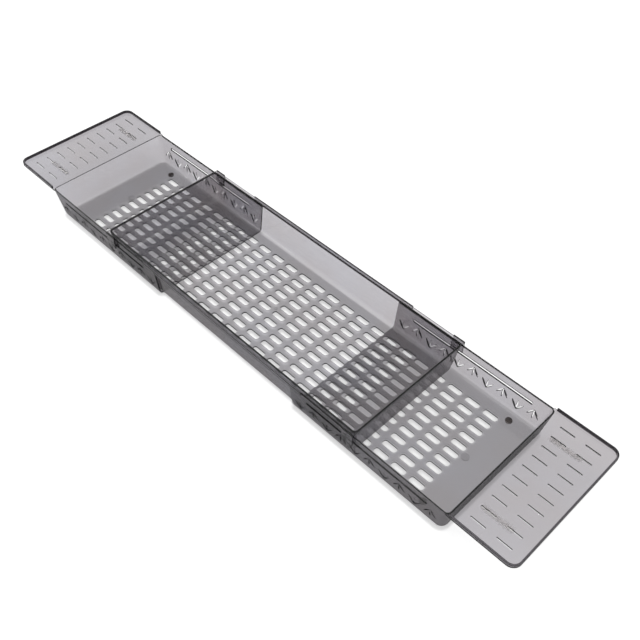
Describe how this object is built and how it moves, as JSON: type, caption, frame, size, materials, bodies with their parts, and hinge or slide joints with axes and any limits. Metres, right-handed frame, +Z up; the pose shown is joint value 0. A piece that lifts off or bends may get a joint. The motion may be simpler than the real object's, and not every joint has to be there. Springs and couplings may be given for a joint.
{
  "type": "extending bath caddy",
  "caption": "Smoked see-through caddy that rests across a bath: a middle tray slides inside end trays with slotted floors, pierced side walls and dished wings on rubber strips.",
  "frame": {"origin": "bottom centre, on the surface that the feet stand on, under the middle of the middle tray", "axes": "+X along the caddy, the way that it extends; +Y across it; +Z up"},
  "size_m": [0.709, 0.1552, 0.0405],
  "materials": {
    "smoked_plastic": "smooth, glossy, grey and see-through",
    "grip_rubber": "soft and cloudy, slightly brown, matt",
    "foot_rubber": "dark brownish grey, matt"
  },
  "bodies": {
    "middle": {"middle_tray": "smoked_plastic"},
    "left_end": {"left_end_tray": "smoked_plastic", "left_front_grip_strip": "grip_rubber", "left_back_grip_strip": "grip_rubber", "left_front_foot": "foot_rubber", "left_back_foot": "foot_rubber"},
    "right_end": {"right_end_tray": "smoked_plastic", "right_front_grip_strip": "grip_rubber", "right_back_grip_strip": "grip_rubber", "right_front_foot": "foot_rubber", "right_back_foot": "foot_rubber"}
  },
  "joints": [
    {"name": "right_slide", "type": "slide", "parent": "middle", "child": "right_end", "axis": [1, 0, 0], "range_m": [-0.09, 0.046]},
    {"name": "left_slide", "type": "slide", "parent": "middle", "child": "left_end", "axis": [-1, 0, 0], "range_m": [-0.09, 0.046]}
  ]
}
